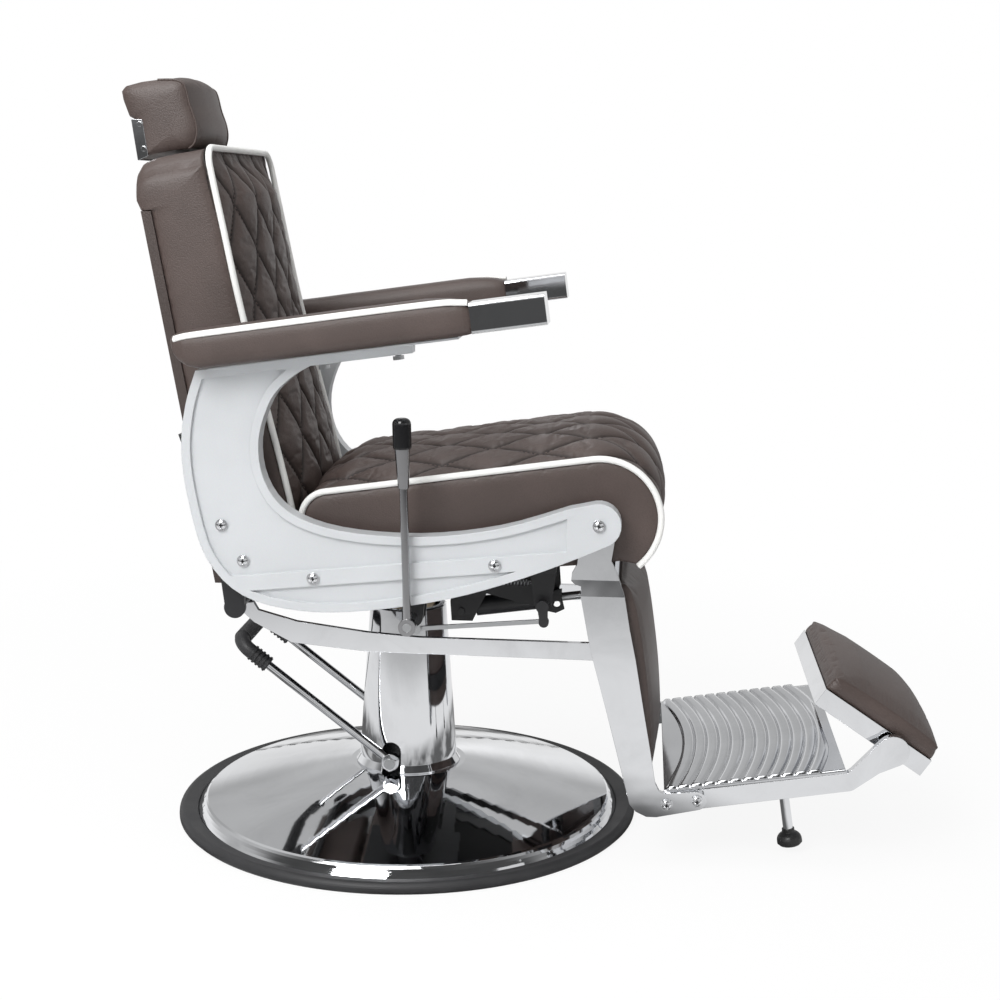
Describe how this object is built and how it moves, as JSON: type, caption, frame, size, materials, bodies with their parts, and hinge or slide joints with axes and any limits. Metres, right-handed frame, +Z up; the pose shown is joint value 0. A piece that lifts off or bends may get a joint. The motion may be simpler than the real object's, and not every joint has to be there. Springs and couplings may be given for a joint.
{
  "type": "hydraulic barber chair",
  "caption": "Hydraulic barber chair with a round base, pedal pump, swivelling quilted seat between open side frames, reclining back, sliding headrest and swinging ribbed footrest.",
  "frame": {"origin": "middle of the round base, on the floor", "axes": "+Z up the column; the chair faces -Y; +X is towards the sitter's left hand"},
  "size_m": [0.6999, 1.1658, 1.0928],
  "materials": {
    "black_steel": "semi-gloss black paint",
    "bronze": "turned",
    "cast_iron": "painted black",
    "chrome": "mirror polish",
    "gloss_black": "gloss",
    "piping": "satin white",
    "plywood": "raw birch plywood",
    "rubber": "matt",
    "silver_paint": "silver-grey paint",
    "steel": "turned and ground",
    "upholstery": "satin, fine pebble grain"
  },
  "bodies": {
    "base": {"base_ring": "rubber", "base_dish": "chrome", "base_plate": "cast_iron", "base_bolts": "steel", "pump_body": "cast_iron", "pump_cylinder": "steel", "gland_nut": "bronze", "column_cover": "chrome"},
    "pedal": {"pedal_shaft": "steel", "pedal_cam": "steel", "pedal_lever": "chrome", "pedal_grip": "rubber", "pedal_nuts": "chrome"},
    "plunger": {"pump_plunger": "steel"},
    "ram": {"ram": "chrome", "thrust_bearing": "steel"},
    "seat": {"seat_hub": "black_steel", "seat_subframe": "black_steel", "seat_board": "plywood", "seat_cushion": "upholstery", "seat_piping": "piping", "side_frame_left": "silver_paint", "side_frame_right": "silver_paint", "frame_bolts": "chrome", "arm_plates": "black_steel", "arm_screws": "steel", "arm_pad_left": "upholstery", "arm_pad_right": "upholstery", "arm_piping": "piping", "arm_cap_left": "chrome", "arm_cap_right": "chrome", "lock_bracket": "black_steel", "latch_spring": "steel", "lever_bearing": "black_steel"},
    "recline_control": {"lever_shaft": "steel", "recline_lever": "chrome", "lever_knob": "gloss_black"},
    "release_link": {"release_rod": "steel"},
    "latch": {"latch_plate": "black_steel"},
    "lock_barrel": {"lock_cylinder": "black_steel"},
    "lock_plunger": {"lock_rod": "steel"},
    "backrest": {"back_board": "plywood", "back_cushion": "upholstery", "back_piping": "piping", "back_ears": "black_steel", "post_sleeve": "black_steel"},
    "headrest_slide": {"headrest_post": "chrome"},
    "headrest": {"headrest_plate": "chrome", "headrest_cushion": "upholstery"},
    "footrest": {"leg_left": "chrome", "leg_right": "chrome", "leg_crosstube": "black_steel", "foot_arms": "chrome", "leg_bolts": "chrome", "footplate": "chrome", "support_rods": "chrome", "support_feet": "rubber", "calf_pad": "upholstery"},
    "link": {"link_bars": "chrome"},
    "flip_pad": {"flip_tray": "chrome", "flip_cushion": "upholstery"}
  },
  "joints": [
    {"name": "pedal_pump", "type": "hinge", "parent": "base", "child": "pedal", "pos_m": [0, 0.016, 0.094], "axis": [-1, 0, 0], "range_deg": [0, 25], "stiffness_Nm_per_rad": 8, "springref_deg": -34.38},
    {"name": "plunger_stroke", "type": "slide", "parent": "base", "child": "plunger", "axis": [0, 0, -1], "range_m": [0, 0.0098]},
    {"name": "seat_lift", "type": "slide", "parent": "base", "child": "ram", "axis": [0, 0, 1], "range_m": [0, 0.15]},
    {"name": "seat_swivel", "type": "hinge", "parent": "ram", "child": "seat", "pos_m": [0, 0, 0.345], "axis": [0, 0, 1], "continuous": true},
    {"name": "lever_pull", "type": "hinge", "parent": "seat", "child": "recline_control", "pos_m": [-0.18, -0.038, 0.357], "axis": [-1, 0, 0], "range_deg": [0, 25], "stiffness_Nm_per_rad": 4, "springref_deg": -28.65},
    {"name": "release_link_turn", "type": "hinge", "parent": "recline_control", "child": "release_link", "pos_m": [-0.2045, -0.04, 0.335], "axis": [-1, 0, 0], "range_deg": [-25.1, 0]},
    {"name": "latch_turn", "type": "hinge", "parent": "seat", "child": "latch", "pos_m": [-0.17, -0.216, 0.372], "axis": [-1, 0, 0], "range_deg": [0, 25.1]},
    {"name": "back_recline", "type": "hinge", "parent": "seat", "child": "backrest", "pos_m": [0, 0.219, 0.487], "axis": [-1, 0, 0], "range_deg": [0, 45]},
    {"name": "headrest_rise", "type": "slide", "parent": "backrest", "child": "headrest_slide", "axis": [0, 0.1743, 0.9847], "range_m": [0, 0.08]},
    {"name": "headrest_tilt", "type": "hinge", "parent": "headrest_slide", "child": "headrest", "pos_m": [0, 0.333, 1], "axis": [-1, 0, 0], "range_deg": [0, 20]},
    {"name": "footrest_swing", "type": "hinge", "parent": "seat", "child": "footrest", "pos_m": [0, -0.293, 0.499], "axis": [-1, 0, 0], "range_deg": [0, 26.6]},
    {"name": "link_turn", "type": "hinge", "parent": "backrest", "child": "link", "pos_m": [0, 0.212, 0.363], "axis": [-1, 0, 0], "range_deg": [-46.7, 0]},
    {"name": "lock_turn", "type": "hinge", "parent": "seat", "child": "lock_barrel", "pos_m": [-0.118, -0.096, 0.345], "axis": [-1, 0, 0], "range_deg": [0, 1.53]},
    {"name": "lock_extend", "type": "slide", "parent": "lock_barrel", "child": "lock_plunger", "axis": [0, -0.9903, 0.1387], "range_m": [0, 0.058]},
    {"name": "flip_turn", "type": "hinge", "parent": "footrest", "child": "flip_pad", "pos_m": [0, -0.708, 0.171], "axis": [1, 0, 0], "range_deg": [0, 150]}
  ],
  "couplings": [
    {"joint": "plunger_stroke", "follows": "pedal_pump", "m_per_rad": 0.022},
    {"joint": "release_link_turn", "follows": "lever_pull", "ratio": -1},
    {"joint": "latch_turn", "follows": "lever_pull", "ratio": 1},
    {"joint": "footrest_swing", "follows": "back_recline", "ratio": 0.59},
    {"joint": "link_turn", "follows": "back_recline", "ratio": -1.035},
    {"joint": "lock_turn", "follows": "back_recline", "ratio": 0.03323},
    {"joint": "lock_extend", "follows": "back_recline", "m_per_rad": 0.07312}
  ]
}
